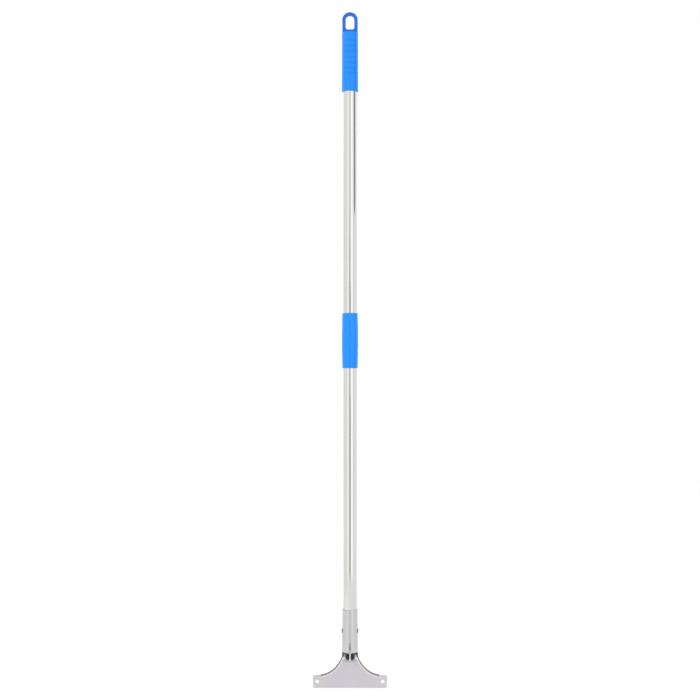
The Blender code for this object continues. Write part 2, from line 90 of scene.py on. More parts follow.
# Screw joint
THREAD_PITCH = 4.0 * MM
THREAD_LENGTH = 16.0 * MM
THREAD_MAJOR = 8.4 * MM
THREAD_MINOR = 7.4 * MM
THREAD_CLEARANCE = 0.4 * MM
COLLAR_THICKNESS = 2.0 * MM
INSERT_CHAMFER = 0.8 * MM
SPIGOT_CORE_RADIUS = 6.5 * MM
WASHER_BORE = 9.6 * MM
WASHER_EDGE = 0.3 * MM
CROSS_PIN_EDGE = 0.4 * MM

# Head
PLATE_Y = 5.0 * MM
BAND_HEIGHT = 22.8 * MM
SIDE_ARC_RADIUS = 47.1 * MM
SIDE_ARC_CENTRE_X = 61.0 * MM
SOCKET_LENGTH = 75.2 * MM
SOCKET_BOTTOM_RADIUS = 13.7 * MM
SOCKET_TOP_CLEARANCE = 0.05 * MM
RIM_BLEND = 14.0 * MM
FLANGE_EDGE_ANGLE = 1.8
FLANGE_BEND_WIDTH = 4.2 * MM
# Widths of the painted shade line along the flange's edge and of the painted highlight beside it
FLANGE_PAINTED_SHADE_WIDTH = 2.7 * MM
FLANGE_PAINTED_HIGHLIGHT_WIDTH = 5.2 * MM
FLANGE_BLUR = 0.6 * MM
FLANGE_END_ANGLE = 1.37
FLANGE_ONSET = 0.07
FLANGE_FADE = 0.1
FLANGE_TOP_FADE = 3.0 * MM
SIDE_ARC_END_ANGLE = 1.49
RAMP_LENGTH = 20.8 * MM
SEAM_GAP = 0.5 * MM
SEAM_MOUTH_GAP = 3.0 * MM
SEAM_MOUTH_LENGTH = 5.7 * MM
SEAM_TAPER_LENGTH = 14.0 * MM
WELD_ABOVE_RIM = 1.9 * MM
WELD_HALF_SIZE = Vector((4.5, 1.5, 3.7)) * MM
WELD_ROWS = 32
WELD_RIPPLES = 4
WELD_RIPPLE_DEPTH = 0.05
WELD_ROOT_HALF_WIDTH = 1.25 * MM
WELD_ROOT_FLARE = 0.8
WELD_ROOT_FLATNESS = 0.7
WELD_ROOT_ABOVE_RIM = 0.6 * MM
WELD_ROOT_LENGTH = 18.6 * MM
WELD_ROOT_THIN_SHARE = 0.3
WELD_ROOT_BEND = 1.3
# Place and size of the painted shade in the pocket under the socket's foot
POCKET_BELOW_RIM = 12.6 * MM
POCKET_HALF_WIDTH = 8.6 * MM
POCKET_HALF_HEIGHT = 5.6 * MM
POCKET_BLUR = 0.25
END_HOLE_RADIUS = 3.2 * MM
END_HOLE_X = 58.2 * MM
END_HOLE_ABOVE_EDGE = 11.3 * MM
BLADE_CORNER = 3.6 * MM
TAB_CORNER = 2.2 * MM

# Blind rivets
RIVET_SHANK = 2.4 * MM
RIVET_BORE = 1.3 * MM
RIVET_HEAD_THICKNESS = 1.5 * MM
RIVET_HEAD_SUNK = 0.25 * MM
RIVET_HEAD_EDGE = 0.12 * MM
RIVET_DOME_START = 0.38
RIVET_DOME_POWER = 0.8
RIVET_BULGE = 1.0 * MM
RIVET_BULGE_LENGTH = 2.2 * MM
MANDREL_RADIUS = 0.95 * MM

# Camera and stage
CAMERA_DISTANCE = 2.2
CAMERA_ABOVE_EDGE = 600.0 * MM
VIEW_WIDTH = 1.240
SENSOR_WIDTH = 36.0
FLOOR_BELOW_EDGE = 300.0 * MM
FLOOR_SIZE = 12.0
CARD_DISTANCE = 1.2
CARD_ABOVE_TUBE_END = 25.0 * MM
CARD_SHADE = 0.02
SIDE_GAP_ABOVE_JOINT = 210.0 * MM
FILL_SIZE = (0.8, 1.6)
FILL_ENERGY = 4.5
FILL_PLACE = (-1.3, -0.8)
FILL_ABOVE_EDGE = 0.7

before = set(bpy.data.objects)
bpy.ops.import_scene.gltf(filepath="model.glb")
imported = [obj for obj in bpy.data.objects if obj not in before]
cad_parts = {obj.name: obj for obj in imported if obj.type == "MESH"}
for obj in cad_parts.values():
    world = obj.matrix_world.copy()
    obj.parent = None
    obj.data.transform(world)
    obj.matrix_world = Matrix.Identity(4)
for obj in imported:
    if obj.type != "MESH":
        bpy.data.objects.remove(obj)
cad_low, cad_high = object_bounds()
BLADE_EDGE = cad_low.z


# Meshes ---------------------------------------------------------------------------------


def spaced(start, end, count):
    """count + 1 evenly spaced values from start to end, both included."""
    return [start + (end - start) * step / count for step in range(count + 1)]


def smoothstep(value):
    value = min(max(value, 0.0), 1.0)
    return value * value * (3.0 - 2.0 * value)


def box_of(node):
    low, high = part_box(node)
    return Vector(low), Vector(high)


def round_size(node):
    """Lowest and highest point and outer radius of a node that is round about the pole's axis."""
    low, high = box_of(node)
    return low.z, high.z, (high.x - low.x) / 2


def cross_size(node):
    """Height, outer radius and inner and outer end of a node that is round about a line along X."""
    low, high = box_of(node)
    return (low.z + high.z) / 2, (high.z - low.z) / 2, min(abs(high.x), abs(low.x)), max(high.x, -low.x)


def make_object(name, bm, smooth_below=0.6):
    bmesh.ops.recalc_face_normals(bm, faces=bm.faces)
    mesh = bpy.data.meshes.new(name)
    bm.to_mesh(mesh)
    bm.free()
    mesh.shade_smooth()
    mesh.set_sharp_from_angle(angle=smooth_below)
    obj = bpy.data.objects.new(name, mesh)
    bpy.context.scene.collection.objects.link(obj)
    return obj


def finish_piece(obj, body, node, material):
    """Gives a piece its material, and says what it rides on and stands for."""
    obj.data.materials.clear()
    obj.data.materials.append(material)
    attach(obj, body)
    if node:
        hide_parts(node)
    return obj


def combine(obj, other, operation):
    modifier = obj.modifiers.new(operation.title(), "BOOLEAN")
    modifier.operation = operation
    modifier.object = other


def apply_modifiers(obj, helpers=(), smooth_below=0.6):
    """Bakes the modifiers into the mesh and removes the helper objects that they used."""
    depsgraph = bpy.context.evaluated_depsgraph_get()
    mesh = bpy.data.meshes.new_from_object(obj.evaluated_get(depsgraph))
    obj.modifiers.clear()
    obj.data = mesh
    mesh.shade_smooth()
    mesh.set_sharp_from_angle(angle=smooth_below)
    for helper in helpers:
        bpy.data.objects.remove(helper, do_unlink=True)


def turned(outline, sides, reshape=None):
    """A solid of revolution about Z from a closed (radius, height) outline.

    A point with radius 0 becomes one vertex on the axis. reshape(angle, radius, height)
    may change the radius of any point.
    """
    bm = bmesh.new()
    rings = []
    for radius, height in outline:
        if radius == 0.0:
            rings.append([bm.verts.new((0.0, 0.0, height))])
            continue
        ring = []
        for side in range(sides):
            angle = 2.0 * pi * side / sides
            r = reshape(angle, radius, height) if reshape else radius
            ring.append(bm.verts.new((r * cos(angle), r * sin(angle), height)))
        rings.append(ring)
    for index, ring in enumerate(rings):
        below = rings[(index + 1) % len(rings)]
        if len(ring) == 1 and len(below) == 1:
            continue
        for side in range(sides):
            after = (side + 1) % sides
            corners = [ring[side % len(ring)], ring[after % len(ring)]]
            corners += [below[after % len(below)], below[side % len(below)]]
            bm.faces.new(dict.fromkeys(corners))
    return bm


def rounded_corner(radius, height, size, start, steps=4):
    """Points of a quarter-round edge about a centre, turning from start by a quarter turn."""
    turns = spaced(start, start + pi / 2, steps)
    return [(radius + size * sin(turn), height + size * cos(turn)) for turn in turns]


def mark_points(obj, name, weigh, front_only=False):
    """Stores weigh(x, y, z) as a value on each vertex, for the materials to read."""
    values = obj.data.attributes.new(name, "FLOAT", "POINT").data
    for value, vert in zip(values, obj.data.vertices):
        value.value = 0.0 if front_only and vert.normal.y > 0.0 else weigh(*vert.co)


def edged_ring(low, high, bore, radius, edge):
    """Closed outline of a ring or tube with rounded edges."""
    outline = rounded_corner(radius - edge, high - edge, edge, 0.0)
    outline += rounded_corner(radius - edge, low + edge, edge, pi / 2)
    outline += rounded_corner(bore + edge, low + edge, edge, pi)
    return outline + rounded_corner(bore + edge, high - edge, edge, 1.5 * pi)


def drill_bit(radius, length):
    bm = bmesh.new()
    bmesh.ops.create_cone(
        bm, cap_ends=True, segments=SMALL_SIDES, radius1=radius, radius2=radius, depth=length
    )
    return bm


def lay_along_x(bm, side, height):
    turn = Matrix.Rotation(side * pi / 2, 4, "Y")
    bmesh.ops.transform(bm, matrix=Matrix.Translation((0, 0, height)) @ turn, verts=bm.verts)


# Materials ------------------------------------------------------------------------------


class Nodes:
    """A short way to build one node material."""

    def __init__(self, name):
        self.material = bpy.data.materials.new(name)
        self.material.use_nodes = True
        self.tree = self.material.node_tree
        self.shader = self.tree.nodes["Principled BSDF"]
        self.place = self.add("ShaderNodeTexCoord").outputs["Object"]

    def add(self, kind, inputs=None, **settings):
        node = self.tree.nodes.new(kind)
        for key, value in settings.items():
            setattr(node, key, value)
        for key, value in (inputs or {}).items():
            self.feed(node.inputs[key], value)
        return node

    def feed(self, socket, value):
        if isinstance(value, bpy.types.NodeSocket):
            self.tree.links.new(value, socket)
        else:
            socket.default_value = value

    def set(self, **values):
        for key, value in values.items():
            self.feed(self.shader.inputs[key.replace("_", " ")], value)

    def noise(self, scale, stretch=(1.0, 1.0, 1.0), detail=3.0, roughness=0.55):
        """A noise value between 0 and 1; stretch divides its grain size along each axis."""
        place = self.add("ShaderNodeMapping", {"Vector": self.place, "Scale": stretch}).outputs[0]
        inputs = {"Vector": place, "Scale": scale, "Detail": detail, "Roughness": roughness}
        return self.add("ShaderNodeTexNoise", inputs).outputs["Fac"]

    def remap(self, value, low, high, to_low=0.0, to_high=1.0):
        """Carries low to to_low and high to to_high, with a soft start and end, and no further."""
        inputs = {"Value": value, "From Min": low, "From Max": high}
        inputs |= {"To Min": to_low, "To Max": to_high}
        return self.add("ShaderNodeMapRange", inputs, interpolation_type="SMOOTHSTEP").outputs[0]

    def maths(self, operation, first, second=0.0):
        return self.add("ShaderNodeMath", {0: first, 1: second}, operation=operation).outputs[0]

    def mix(self, share, first, second):
        """A colour between two; the node's own colour sockets have the numbers 6, 7 and 2."""
        return self.add("ShaderNodeMix", {0: share, 6: first, 7: second}, data_type="RGBA").outputs[2]

    def bump(self, height, distance, strength=1.0, normal=None):
        inputs = {"Height": height, "Distance": distance, "Strength": strength}
        if normal:
            inputs["Normal"] = normal
        return self.add("ShaderNodeBump", inputs).outputs[0]

    def axes(self):
        return self.add("ShaderNodeSeparateXYZ", {"Vector": self.place}).outputs

    def inset_from_side_arc(self):
        """How far in from the head's concave side a point lies, seen from the front."""
        x, _, z = self.axes()
        across = self.maths("SUBTRACT", SIDE_ARC_CENTRE_X, self.maths("ABSOLUTE", x))
        up = self.maths("SUBTRACT", SIDE_ARC_CENTRE_Z, z)
        across_squared = self.maths("MULTIPLY", across, across)
        squares = self.maths("ADD", across_squared, self.maths("MULTIPLY", up, up))
        return self.maths("SUBTRACT", self.maths("SQRT", squares), SIDE_ARC_RADIUS)

    def attribute(self, name):
        return self.add("ShaderNodeAttribute", attribute_name=name).outputs["Fac"]


def colour(red, green, blue):
    return (red, green, blue, 1.0)


def blue_plastic():
    """Glossy moulded plastic with a faint flow pattern, fine handling scuffs and mould texture."""
    nodes = Nodes("blue_plastic")
    flow = nodes.remap(nodes.noise(28.0, (1.0, 1.0, 0.35)), 0.3, 0.7)
    body = nodes.mix(flow, colour(0.004, 0.250, 0.905), colour(0.008, 0.273, 0.945))
    # Painted shade: the loop above the shoulder is mixed to a darker blue to stand in for shade on it.
    loop_painted_shade = nodes.mix(nodes.attribute("loop_painted_shade"), body, colour(0.003, 0.150, 0.66))
    # Painted shade: the groove floors are mixed to a darker blue.
    base = nodes.mix(nodes.attribute("groove"), loop_painted_shade, colour(0.003, 0.215, 0.80))
    scuffs = nodes.noise(900.0, (1.0, 1.0, 0.12), 4.0, 0.7)
    roughness = nodes.remap(scuffs, 0.35, 0.8, 0.17, 0.30)
    skin = nodes.bump(nodes.noise(1500.0, detail=2.0), 0.02 * MM, 0.5)
    waves = nodes.bump(nodes.noise(60.0), 0.12 * MM, 0.3, skin)
    nodes.set(Base_Color=base, Roughness=roughness, Normal=waves, IOR=1.49, Specular_IOR_Level=0.32)
    return nodes.material


def polished_steel():
    """Drawn and polished stainless tube: lengthwise lines outside, a rougher inside painted dark as
    shade.
    """
    nodes = Nodes("polished_steel")
    lines = nodes.noise(1400.0, (1.0, 1.0, 0.012), 4.0, 0.6)
    line_shade = nodes.remap(lines, 0.3, 0.7, 0.96, 1.0)
    cloud_shade = nodes.remap(nodes.noise(24.0, (1.0, 1.0, 0.25)), 0.3, 0.7, 0.97, 1.0)
    shade = nodes.maths("MULTIPLY", line_shade, cloud_shade)
    outside = nodes.mix(shade, colour(0.2, 0.19, 0.18), colour(0.715, 0.70, 0.685))
    inside = nodes.attribute("inside")
    # Painted shade: the tube's inside gets a far darker colour, besides more roughness.
    base = nodes.mix(inside, outside, colour(0.16, 0.155, 0.15))
    polish = nodes.remap(lines, 0.3, 0.75, 0.07, 0.12)
    roughness = nodes.maths("ADD", polish, nodes.maths("MULTIPLY", inside, 0.35))
    grain = nodes.bump(lines, 0.004 * MM, 0.15)
    nodes.set(Base_Color=base, Roughness=roughness, Metallic=1.0, Normal=grain)
    return nodes.material


def satin_sheet():
    """Pressed stainless sheet with a satin grain.

    The flanges carry a painted line of shade along their edge and a painted highlight beside it;
    the socket's inside and the pocket under its foot are rougher and painted darker as shade.
    """
    nodes = Nodes("satin_sheet")
    grain = nodes.noise(1100.0, (0.06, 1.0, 1.0), 4.0, 0.65)
    height = nodes.axes()[2]
    on_socket = nodes.remap(height, SOCKET_BOTTOM - RIM_BLEND, SOCKET_BOTTOM + RIM_BLEND)
    warmth = nodes.remap(nodes.noise(14.0), 0.35, 0.65)
    plate = nodes.mix(warmth, colour(0.676, 0.646, 0.700), colour(0.672, 0.648, 0.668))
    tint = nodes.mix(on_socket, plate, colour(0.600, 0.592, 0.597))
    grain_shade = nodes.remap(grain, 0.3, 0.7, 0.94, 1.0)
    cloud_shade = nodes.remap(nodes.noise(30.0), 0.3, 0.7, 0.96, 1.0)
    shade = nodes.maths("MULTIPLY", grain_shade, cloud_shade)
    polished = nodes.mix(shade, colour(0.1, 0.1, 0.1), tint)
    inset = nodes.inset_from_side_arc()
    within = nodes.remap(inset, FLANGE_PAINTED_SHADE_WIDTH, FLANGE_PAINTED_SHADE_WIDTH + FLANGE_BLUR, 1.0, 0.0)
    beyond = nodes.remap(inset, FLANGE_PAINTED_HIGHLIGHT_WIDTH, FLANGE_PAINTED_HIGHLIGHT_WIDTH + FLANGE_BLUR)
    between = nodes.maths("SUBTRACT", nodes.maths("SUBTRACT", 1.0, within), beyond)
    # Painted highlight: a light band beside the dark line, on the flange's front face only.
    painted_highlight_share = nodes.maths("MULTIPLY", nodes.attribute("flange_front"), between)
    with_flange_highlight = nodes.mix(painted_highlight_share, polished, colour(0.80, 0.785, 0.81))
    # Painted shade: a dark line along the flange's edge, on both faces.
    painted_shade_share = nodes.maths("MULTIPLY", nodes.attribute("flange"), within)
    with_flange_shade = nodes.mix(painted_shade_share, with_flange_highlight, colour(0.23, 0.225, 0.23))
    # Painted shade: the socket's inside is darker, as well as rougher below.
    inside = nodes.attribute("inside")
    with_inside_shade = nodes.mix(inside, with_flange_shade, colour(0.44, 0.435, 0.43))
    # Painted shade: a dark patch in the pocket under the socket's foot, on the front faces only.
    painted_pocket_shade = nodes.attribute("painted_pocket_shade")
    base = nodes.mix(painted_pocket_shade, with_inside_shade, colour(0.12, 0.117, 0.12))
    dullness = nodes.maths("MULTIPLY", nodes.maths("MAXIMUM", inside, painted_pocket_shade), 0.2)
    roughness = nodes.maths("ADD", nodes.remap(grain, 0.3, 0.7, 0.30, 0.38), dullness)
    lines = nodes.bump(grain, 0.006 * MM, 0.3)
    nodes.set(Base_Color=base, Roughness=roughness, Metallic=1.0, Normal=lines)
    return nodes.material


def weld_metal(name, light, dark):
    """Rippled weld metal, with patches of a darker heat colour."""
    nodes = Nodes(name)
    spots = nodes.noise(700.0, detail=4.0)
    base = nodes.mix(nodes.remap(spots, 0.4, 0.7), light, dark)
    nodes.set(Base_Color=base, Roughness=nodes.remap(spots, 0.3, 0.7, 0.28, 0.45), Metallic=1.0)
    nodes.set(Normal=nodes.bump(spots, 0.06 * MM, 0.6))
    return nodes.material


def plain_metal(name, light, dark, roughness, grain_size):
    """A small turned or headed metal piece with fine tool marks."""
    nodes = Nodes(name)
    marks = nodes.noise(grain_size, (1.0, 1.0, 1.0), 4.0, 0.6)
    base = nodes.mix(nodes.remap(marks, 0.3, 0.7), light, dark)
    gloss = nodes.remap(marks, 0.3, 0.7, roughness - 0.06, roughness + 0.08)
    nodes.set(Base_Color=base, Roughness=gloss, Metallic=1.0, Normal=nodes.bump(marks, 0.01 * MM, 0.6))
    return nodes.material


def soft_or_moulded(name, light, dark, roughness, grain_size, depth):
    """A matte moulded plastic or rubber with a fine grain."""
    nodes = Nodes(name)
    grain = nodes.noise(grain_size, detail=4.0)
    base = nodes.mix(nodes.remap(grain, 0.3, 0.7), light, dark)
    gloss = nodes.remap(grain, 0.3, 0.7, roughness - 0.08, roughness + 0.08)
    nodes.set(Base_Color=base, Roughness=gloss, Normal=nodes.bump(grain, depth, 0.6))
    return nodes.material


# Grip -----------------------------------------------------------------------------------


def loop_outline(half_width, top, bottom, corner):
    """Closed (x, z) outline with straight sides, a half-round top and rounded lower corners."""
    centre = top - half_width
    points = []
    for turn in spaced(0.0, pi, 48):
        points.append((half_width * cos(turn), centre + half_width * sin(turn)))
    for side, first in ((-1.0, pi), (1.0, 1.5 * pi)):
        for turn in spaced(first, first + pi / 2, 8):
            x = side * (half_width - corner) + corner * cos(turn)
            points.append((x, bottom + corner + corner * sin(turn)))
    return points


def rounded_slab(name, half_width, top, bottom, corner, sign):
    """An outline carried through the loop's thickness; sign +1 rounds outward, -1 inward."""
    half = LOOP_THICKNESS / 2
    steps = []
    for turn in spaced(0.0, pi / 2, 8):
        steps.append((LOOP_ROUNDING * (1.0 - sin(turn)), LOOP_ROUNDING * (1.0 - cos(turn)) - half))
    steps += [(inset, -depth) for inset, depth in reversed(steps)]
    bm = bmesh.new()
    layers = []
    for inset, depth in steps:
        inset *= sign
        points = loop_outline(half_width - inset, top - inset, bottom + inset, corner - inset)
        layers.append([bm.verts.new((x, depth, z)) for x, z in points])
    for front, back in zip(layers, layers[1:]):
        for index in range(len(front)):
            after = (index + 1) % len(front)
            bm.faces.new((front[index], front[after], back[after], back[index]))
    bm.faces.new(layers[0])
    bm.faces.new(layers[-1])
    return make_object(name, bm)


def fillet_strip(name, shoulder, side):
    """A concave fillet between the grip's flat shoulder and the loop's face on one side."""
    bm = bmesh.new()
    half = LOOP_THICKNESS / 2
    reach = LOOP_HALF_WIDTH - GRIP_TOP_EDGE
    sections = []
    for x in spaced(-reach, reach, 40):
        size = LOOP_FILLET * sqrt(max(1.0 - (x / reach) ** 4, 0.0)) + 0.02 * MM
        section = [(half - FILLET_SUNK, shoulder - FILLET_SUNK), (half + size, shoulder - FILLET_SUNK)]
        for turn in spaced(0.0, pi / 2, 8):
            section.append((half + size * (1.0 - sin(turn)), shoulder + size * (1.0 - cos(turn))))
        section.append((half - FILLET_SUNK, shoulder + size))
        sections.append([bm.verts.new((x, side * y, z)) for y, z in section])
    for first, second in zip(sections, sections[1:]):
        for index in range(len(first)):
            after = (index + 1) % len(first)
            bm.faces.new((first[index], first[after], second[after], second[index]))
    bm.faces.new(sections[0])
    bm.faces.new(sections[-1])
    return make_object(name, bm)


def groove_share(along):
    """How deep the grip's surface is, from 0 on a rib to 1 in a groove, at a number of pitches."""
    return (0.5 - 0.5 * cos(2.0 * pi * along)) ** 4


def grip_outline(bottom, radius, bore, bore_top):
    shoulder = bottom + GRIP_LENGTH
    top_radius = radius - GRIP_TAPER
    outline = [(0.0, shoulder)]
    edge = GRIP_TOP_EDGE
    outline += rounded_corner(top_radius - edge, shoulder - edge, edge, 0.0, 6)
    groove_end = GROOVE_START + GROOVE_COUNT * GROOVE_PITCH
    for height in spaced(groove_end, GROOVE_START, 14 * GROOVE_COUNT):
        along = (height - GROOVE_START) / GROOVE_PITCH
        groove = GROOVE_DEPTH * groove_share(along)
        outline.append((radius - GRIP_TAPER * height / GRIP_LENGTH - groove, bottom + height))
    edge = GRIP_BOTTOM_EDGE
    outline += rounded_corner(radius - edge, bottom + edge, edge, pi / 2, 6)
    return outline + [(bore, bottom), (bore, bore_top), (0.0, bore_top)], shoulder


def make_grip(material):
    low, high, radius = round_size("top_grip")
    _, tube_top, tube_radius = round_size("upper_tube")
    outline, shoulder = grip_outline(low, radius, tube_radius + FIT_GAP, tube_top + FIT_GAP)
    grip = make_object("hand_grip", turned(outline, FINE_SIDES))
    root = shoulder - LOOP_ROOT_DEPTH
    slab = rounded_slab("loop_slab", LOOP_HALF_WIDTH, high, root, LOOP_ROOT_CORNER, 1.0)
    hole_half = LOOP_HALF_WIDTH - LOOP_BAR
    hole_top = high - LOOP_BAR
    hole_bottom = hole_top - LOOP_HOLE_HEIGHT
    hole = rounded_slab("loop_hole", hole_half, hole_top, hole_bottom, LOOP_HOLE_CORNER, -1.0)
    fillets = [fillet_strip("fillet", shoulder, side) for side in (-1.0, 1.0)]
    for added in (slab, *fillets):
        combine(grip, added, "UNION")
    combine(grip, hole, "DIFFERENCE")
    apply_modifiers(grip, (slab, hole, *fillets), 0.5)

    # Share of painted shade on the loop, fading in above the grip's shoulder.
    def painted_loop_shade_share(_x, _y, z):
        return smoothstep((z - shoulder + LOOP_FILLET) / (2.0 * LOOP_FILLET))

    # Painted shade in the grooves, strongest at each groove's floor.
    def groove_painted_shade(_x, _y, z):
        along = (z - low - GROOVE_START) / GROOVE_PITCH
        return groove_share(along) if 0.0 < along < GROOVE_COUNT else 0.0

    mark_points(grip, "loop_painted_shade", painted_loop_shade_share)
    mark_points(grip, "groove", groove_painted_shade)
    finish_piece(grip, "upper_section", "top_grip", material)


# Pole -----------------------------------------------------------------------------------

TUBE_BORE = round_size("lower_tube")[2] - TUBE_WALL


# Marks the tube's inside, where the steel is rougher and painted dark as shade.
def inside_tube(x, y, _):
    return 1.0 if sqrt(x * x + y * y) < TUBE_BORE + TUBE_WALL / 4 else 0.0


def make_tube(name, node, body, material):
    low, high, radius = round_size(node)
    outline = edged_ring(low, high, radius - TUBE_WALL, radius, EDGE_BREAK)
    tube = make_object(name, turned(outline, FINE_SIDES))
    return finish_piece(tube, body, node, material)


def make_sleeve(material):
    low, high, radius = round_size("joint_sleeve")
    bore = round_size("lower_tube")[2] + FIT_GAP
    half = (high - low) / 2
    centre = (high + low) / 2
    end_radius = radius - SLEEVE_BULGE
    lip = SLEEVE_LIP
    outline = rounded_corner(end_radius - lip, high - lip, lip, 0.0)
    for height in spaced(half - 2 * lip, 2 * lip - half, 48):
        outline.append((radius - SLEEVE_BULGE * (height / half) ** 2, centre + height))
    outline += rounded_corner(end_radius - lip, low + lip, lip, pi / 2)
    outline += [(bore, low), (bore, high)]
    sleeve = make_object("joint_barrel", turned(outline, FINE_SIDES))
    finish_piece(sleeve, "lower_section", "joint_sleeve", material)


def thread_shape(joint, bottom, top, root, sign):
    """A reshape function that adds a right-handed round thread to points at the root radius."""

    def reshape(angle, radius, height):
        if abs(radius - root) > 1e-9 or not bottom <= height <= top:
            return radius
        wave = 0.5 + 0.5 * cos(2.0 * pi * (height - joint) / THREAD_PITCH - angle)
        fade = smoothstep(min(height - bottom, top - height) / (THREAD_PITCH / 2))
        depth = (THREAD_MAJOR - THREAD_MINOR) * fade
        return radius + depth * wave if sign > 0 else radius - depth * (1.0 - wave)

    return reshape


def make_spigot(joint, material):
    low, high, collar_radius = round_size("threaded_spigot")
    plug_radius = round_size("upper_tube")[2] - TUBE_WALL - FIT_GAP
    collar_top = round_size("upper_tube")[0] - FIT_GAP
    collar_bottom = collar_top - COLLAR_THICKNESS
    core_bottom = collar_top + COLLAR_THICKNESS
    thread_top = round_size("threaded_socket")[1]
    thread_bottom = thread_top - THREAD_LENGTH
    outline = [
        (SPIGOT_CORE_RADIUS, high),
        (plug_radius - INSERT_CHAMFER, high),
        (plug_radius, high - INSERT_CHAMFER),
        (plug_radius, collar_top),
        (collar_radius, collar_top),
        (collar_radius, collar_bottom),
        (THREAD_MINOR, collar_bottom),
    ]
    outline += [(THREAD_MINOR, height) for height in spaced(thread_top, thread_bottom, 64)]
    outline += [
        (THREAD_MINOR, low + INSERT_CHAMFER),
        (THREAD_MINOR - INSERT_CHAMFER, low),
        (0.0, low),
        (0.0, core_bottom),
        (SPIGOT_CORE_RADIUS, core_bottom),
    ]
    reshape = thread_shape(joint, thread_bottom, thread_top, THREAD_MINOR, 1.0)
    spigot = make_object("male_thread_plug", turned(outline, THREAD_SIDES, reshape), 0.9)
    return finish_piece(spigot, "upper_section", "threaded_spigot", material)


def make_socket_insert(joint, material):
    low, high, collar_radius = round_size("threaded_socket")
    plug_radius = round_size("lower_tube")[2] - TUBE_WALL - FIT_GAP
    collar_bottom = high - COLLAR_THICKNESS
    major = THREAD_MAJOR + THREAD_CLEARANCE
    thread_top = high - INSERT_CHAMFER
    thread_bottom = thread_top - THREAD_LENGTH + THREAD_PITCH / 2
    outline = [(major, low)]
    outline += [(major, height) for height in spaced(thread_bottom, thread_top, 56)]
    outline += [
        (major + INSERT_CHAMFER, high),
        (collar_radius, high),
        (collar_radius, collar_bottom),
        (plug_radius, collar_bottom),
        (plug_radius, low + INSERT_CHAMFER),
        (plug_radius - INSERT_CHAMFER, low),
    ]
    reshape = thread_shape(joint, thread_bottom, thread_top, major, -1.0)
    insert = make_object("female_thread_insert", turned(outline, THREAD_SIDES, reshape), 0.9)
    return finish_piece(insert, "lower_section", "threaded_socket", material)


def make_washer(material):
    low, high, radius = round_size("joint_washer")
    outline = edged_ring(low, high, WASHER_BORE, radius, WASHER_EDGE)
    washer = make_object("joint_ring", turned(outline, FINE_SIDES))
    finish_piece(washer, "washer_ring", "joint_washer", material)


def make_cross_pin(name, node, body, material):
    height, radius, _, half = cross_size(node)
    edge = CROSS_PIN_EDGE
    outline = [(0.0, half)]
    outline += rounded_corner(radius - edge, half - edge, edge, 0.0)
    outline += rounded_corner(radius - edge, edge - half, edge, pi / 2)
    outline.append((0.0, -half))
    bm = turned(outline, SMALL_SIDES)
    lay_along_x(bm, 1.0, height)
    pin = make_object(name, bm)
    finish_piece(pin, body, node, material)


def drill_across(pieces, radius, height):
    """Cuts one round hole along X through each piece."""
    for piece in pieces:
        bm = drill_bit(radius, 100.0 * MM)
        lay_along_x(bm, 1.0, height)
        drill = make_object("drill", bm)
        combine(piece, drill, "DIFFERENCE")
        apply_modifiers(piece, (drill,), 0.5)


# Scraper head ---------------------------------------------------------------------------

SOCKET_TOP = box_of("scraper_head")[1].z
SOCKET_BOTTOM = SOCKET_TOP - SOCKET_LENGTH
SOCKET_TOP_RADIUS = round_size("lower_tube")[2] + SOCKET_TOP_CLEARANCE + SHEET / 2
BLADE_HALF_WIDTH = box_of("scraper_head")[1].x
SIDE_ARC_CENTRE_Z = BLADE_EDGE + BAND_HEIGHT + SIDE_ARC_RADIUS
SIDE_ARC_START_ANGLE = (SIDE_ARC_CENTRE_Z - SOCKET_BOTTOM) / SIDE_ARC_RADIUS
FLANGE_EDGE_Y = SOCKET_BOTTOM_RADIUS * cos(FLANGE_EDGE_ANGLE)
RAMP_BOTTOM = SOCKET_BOTTOM - RAMP_LENGTH
SEAM_MOUTH_TOP = SOCKET_BOTTOM + SEAM_MOUTH_LENGTH
PLATE_COLUMNS = 24
BEND_COLUMNS = 14
FRONT_COLUMNS = 18
SIDE_ARC_ROWS = 90


def side_arc_point(angle):
    """A point on the head's concave side. Angle 0 is level with the arc's centre."""
    x = SIDE_ARC_CENTRE_X - SIDE_ARC_RADIUS * cos(angle)
    return x, SIDE_ARC_CENTRE_Z - SIDE_ARC_RADIUS * sin(angle)


def flange_depth(angle):
    """How far the raised flange stands forward of the plate, fading out along the arc."""
    left = (FLANGE_END_ANGLE - angle) / (FLANGE_END_ANGLE - SIDE_ARC_START_ANGLE)
    return (PLATE_Y - FLANGE_EDGE_Y) * sqrt(max(left, 0.0)) * smoothstep(left / FLANGE_ONSET)


def plate_row(x_edge, height, depth):
    """Half cross-section of the plate, from its middle to its free edge, as (x, y, z)."""
    side_wall = SHEET / 2 * min(depth / SHEET, 1.0)
    bend_x = x_edge - side_wall - FLANGE_BEND_WIDTH
    row = [(bend_x * step / PLATE_COLUMNS, PLATE_Y, height) for step in range(PLATE_COLUMNS)]
    for turn in spaced(0.0, pi / 2, BEND_COLUMNS):
        x = bend_x + FLANGE_BEND_WIDTH * sin(turn)
        row.append((x, PLATE_Y - depth * (1.0 - cos(turn)), height))
    return row


def socket_radius(height):
    share = (height - SOCKET_BOTTOM) / (SOCKET_TOP - SOCKET_BOTTOM)
    return SOCKET_BOTTOM_RADIUS + (SOCKET_TOP_RADIUS - SOCKET_BOTTOM_RADIUS) * max(share, 0.0)


def rolled_row(height):
    """Half cross-section of the rolled sheet: back and side, out to the flange's edge angle."""
    radius = socket_radius(height)
    angles = spaced(0.0, FLANGE_EDGE_ANGLE, PLATE_COLUMNS + BEND_COLUMNS)
    return [(radius * sin(angle), radius * cos(angle), height) for angle in angles]


